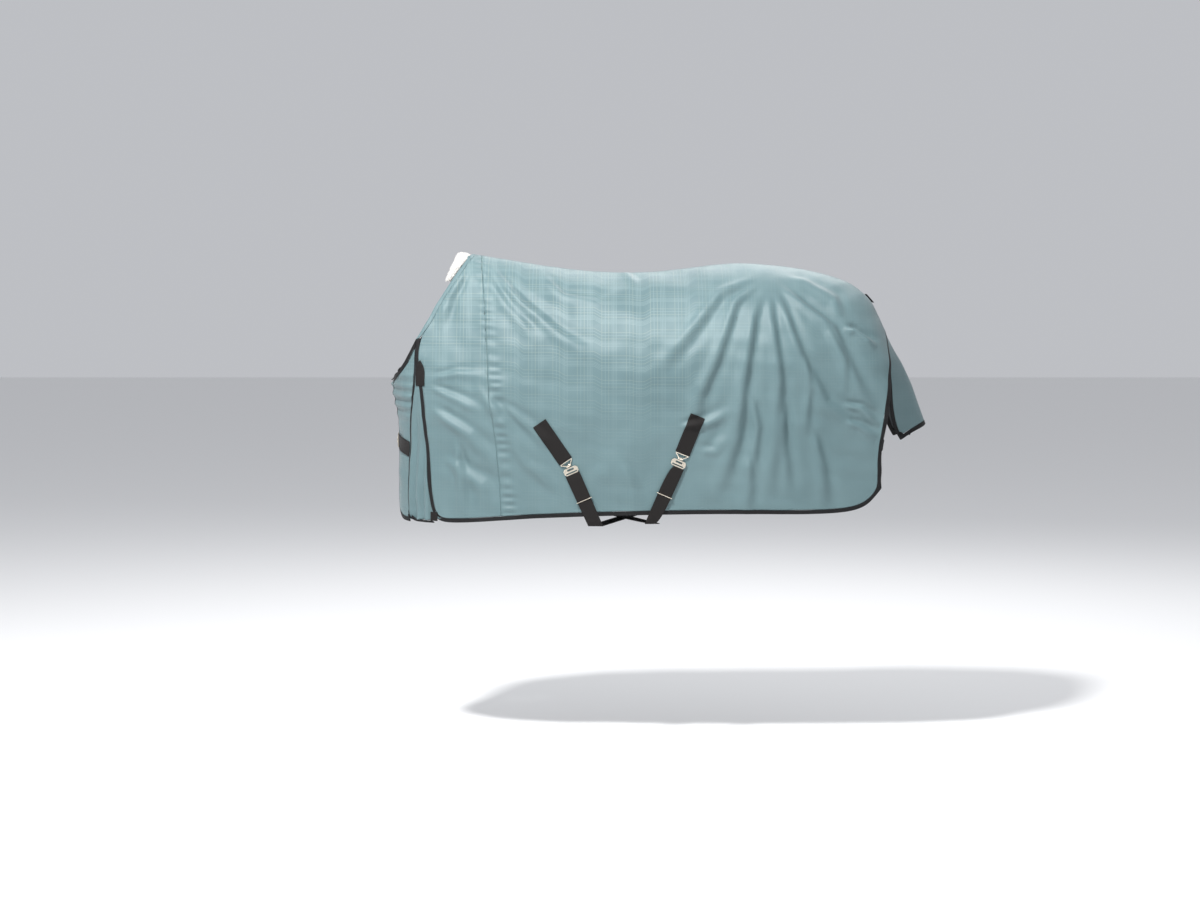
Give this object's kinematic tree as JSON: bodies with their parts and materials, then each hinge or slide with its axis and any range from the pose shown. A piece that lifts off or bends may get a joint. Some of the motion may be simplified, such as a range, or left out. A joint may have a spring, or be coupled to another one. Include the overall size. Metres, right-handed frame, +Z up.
{
  "type": "turnout rug",
  "caption": "Horse turnout rug shaped as worn, with side gussets, chest closure, crossed belly surcingles and a tail flap.",
  "frame": {"origin": "underside of the lining at the withers, on the centre plane", "axes": "+Z up, -X towards the chest, +X towards the tail, -Y the horse's left side"},
  "size_m": [1.8319, 0.6787, 0.9153],
  "materials": {
    "shell": "pale sage woven synthetic with a slight sheen",
    "lining": "smooth dark nylon",
    "tape": "black woven tape",
    "webbing": "brown-black ribbed webbing",
    "nickel": "polished nickel plate",
    "fleece": "white pile"
  },
  "bodies": {
    "rug": {"left_body_panel": "shell", "left_shoulder_panel": "shell", "left_gusset_panel": "shell", "left_body_lining": "lining", "left_edge_binding": "tape", "left_neck_binding": "shell", "left_gusset_binding": "tape", "left_gusset_tab": "tape", "left_gusset_patch": "tape", "right_body_panel": "shell", "right_shoulder_panel": "shell", "right_gusset_panel": "shell", "right_body_lining": "lining", "right_edge_binding": "tape", "right_neck_binding": "shell", "right_gusset_binding": "tape", "right_gusset_tab": "tape", "right_gusset_patch": "tape", "spine_tape": "tape", "croup_tape": "tape", "wither_fleece": "fleece", "front_patch": "webbing", "rear_patch": "webbing", "right_front_anchor_strap": "webbing", "right_rear_anchor_strap": "webbing"},
    "tail_flap": {"tail_flap_panel": "shell", "tail_flap_lining": "lining", "tail_flap_binding": "tape"},
    "left_chest_flap": {"left_chest_panel": "shell", "left_chest_lining": "lining", "left_chest_binding": "tape", "left_chest_strap": "webbing"},
    "right_chest_flap": {"right_chest_panel": "shell", "right_chest_lining": "lining", "right_chest_binding": "tape", "right_chest_strap": "webbing"},
    "chest_hook": {"chest_hook": "nickel"},
    "chest_plate": {"chest_plate": "nickel"},
    "front_hook": {"front_hook": "nickel"},
    "rear_hook": {"rear_hook": "nickel"},
    "front_belly_strap": {"front_belly_strap": "webbing"},
    "rear_belly_strap": {"rear_belly_strap": "webbing"},
    "front_riser": {"front_riser": "webbing"},
    "rear_riser": {"rear_riser": "webbing"},
    "front_plate": {"front_plate": "nickel"},
    "rear_plate": {"rear_plate": "nickel"},
    "front_slide": {"front_slide": "nickel"},
    "rear_slide": {"rear_slide": "nickel"}
  },
  "joints": [
    {"name": "tail_flap_lift", "type": "hinge", "parent": "rug", "child": "tail_flap", "pos_m": [1.35999, 0, -0.24868], "axis": [0, -1, 0], "range_deg": [0, 95]},
    {"name": "left_chest_flap_open", "type": "hinge", "parent": "rug", "child": "left_chest_flap", "pos_m": [-0.2607, -0.1427, -0.58246], "axis": [0.0516, -0.0743, 0.9959], "range_deg": [0, 90]},
    {"name": "right_chest_flap_open", "type": "hinge", "parent": "rug", "child": "right_chest_flap", "pos_m": [-0.2607, 0.1427, -0.58246], "axis": [-0.0516, -0.0743, -0.9959], "range_deg": [0, 90]},
    {"name": "chest_hook_swing", "type": "hinge", "parent": "left_chest_flap", "child": "chest_hook", "pos_m": [-0.30347, -0.0225, -0.62099], "axis": [0, -0.0058, 1], "range_deg": [0, 90]},
    {"name": "chest_plate_swing", "type": "hinge", "parent": "right_chest_flap", "child": "chest_plate", "pos_m": [-0.30206, 0.02329, -0.62099], "axis": [0, -0.006, -1], "range_deg": [0, 90]},
    {"name": "front_hook_swing", "type": "hinge", "parent": "rug", "child": "front_hook", "pos_m": [0.2731, -0.31117, -0.6742], "axis": [-0.8198, 0.1099, -0.5621], "range_deg": [0, 90]},
    {"name": "front_belly_swing", "type": "hinge", "parent": "rug", "child": "front_belly_strap", "pos_m": [0.559, 0.30434, -0.888], "axis": [1, 0, 0], "range_deg": [0, 80]},
    {"name": "front_riser_swing", "type": "hinge", "parent": "front_belly_strap", "child": "front_riser", "pos_m": [0.372, -0.30774, -0.88852], "axis": [1, 0, 0], "range_deg": [0, 90]},
    {"name": "front_plate_swing", "type": "hinge", "parent": "front_riser", "child": "front_plate", "pos_m": [0.29397, -0.31166, -0.71298], "axis": [0.9096, -0.1001, 0.4032], "range_deg": [0, 90]},
    {"name": "front_slide_travel", "type": "slide", "parent": "front_riser", "child": "front_slide", "axis": [0.4056, 0.004, -0.9141], "range_m": [-0.03, 0.03]},
    {"name": "rear_hook_swing", "type": "hinge", "parent": "rug", "child": "rear_hook", "pos_m": [0.65816, -0.33067, -0.64773], "axis": [-0.9293, -0.0323, 0.3678], "range_deg": [0, 90]},
    {"name": "rear_belly_swing", "type": "hinge", "parent": "rug", "child": "rear_belly_strap", "pos_m": [0.372, 0.30434, -0.888], "axis": [1, 0, 0], "range_deg": [0, 80]},
    {"name": "rear_riser_swing", "type": "hinge", "parent": "rear_belly_strap", "child": "rear_riser", "pos_m": [0.559, -0.31743, -0.8802], "axis": [1, 0, 0], "range_deg": [0, 90]},
    {"name": "rear_plate_swing", "type": "hinge", "parent": "rear_riser", "child": "rear_plate", "pos_m": [0.64169, -0.32894, -0.68766], "axis": [0.9191, 0.0224, -0.3934], "range_deg": [0, 90]},
    {"name": "rear_slide_travel", "type": "slide", "parent": "rear_riser", "child": "rear_slide", "axis": [-0.394, 0.0475, -0.9179], "range_m": [-0.03, 0.03]}
  ],
  "couplings": [
    {"joint": "rear_belly_swing", "follows": "front_belly_swing", "ratio": 1}
  ]
}
